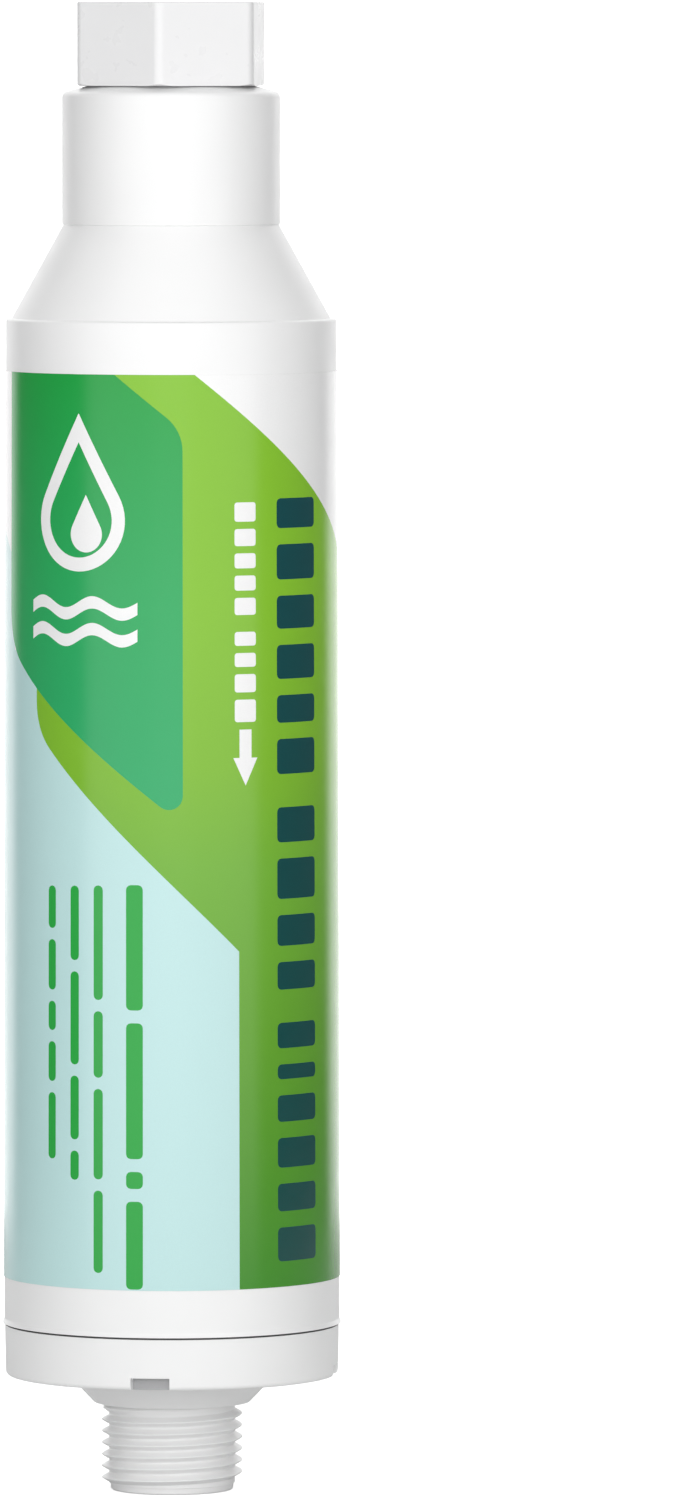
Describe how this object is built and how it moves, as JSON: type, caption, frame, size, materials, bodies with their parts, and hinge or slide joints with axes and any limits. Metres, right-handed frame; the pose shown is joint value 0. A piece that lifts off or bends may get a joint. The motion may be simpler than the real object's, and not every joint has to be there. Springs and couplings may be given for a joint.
{
  "type": "inline water filter",
  "caption": "White inline water filter canister with a swivelling female hose nut on its collared inlet, a printed label and a male hose thread on its outlet.",
  "frame": {"origin": "centre of the outlet thread's end face, which the filter stands on", "axes": "+Z along the water way from the outlet up to the inlet nut; the label's front faces -Y"},
  "size_m": [0.0642, 0.0642, 0.2818],
  "materials": {
    "shell_plastic": "satin moulded white",
    "cap_plastic": "satin moulded white",
    "nut_plastic": "satin moulded white",
    "inner_plastic": "natural moulded",
    "label_film": "printed film",
    "washer_rubber": "matt",
    "oring_rubber": "matt",
    "felt": "needled felt",
    "copper_zinc": "coarse granules",
    "carbon": "coarse granules",
    "screen_steel": "woven"
  },
  "bodies": {
    "filter": {"housing": "shell_plastic", "end_cap": "cap_plastic", "label": "label_film", "inlet_tailpiece": "inner_plastic", "neck_oring": "oring_rubber", "inlet_diffuser": "inner_plastic", "inlet_pad": "felt", "kdf_bed": "copper_zinc", "divider_pad": "felt", "carbon_bed": "carbon", "outlet_pad": "felt", "outlet_screen": "screen_steel", "outlet_grid": "inner_plastic"},
    "washer": {"hose_washer": "washer_rubber"},
    "nut": {"swivel_nut": "nut_plastic"}
  },
  "joints": [
    {"name": "nut_float", "type": "slide", "parent": "filter", "child": "washer", "axis": [0, 0, 1], "range_m": [0, 0.0008]},
    {"name": "nut_swivel", "type": "hinge", "parent": "washer", "child": "nut", "pos_m": [0, 0, 0.2738], "axis": [0, 0, 1], "continuous": true}
  ]
}
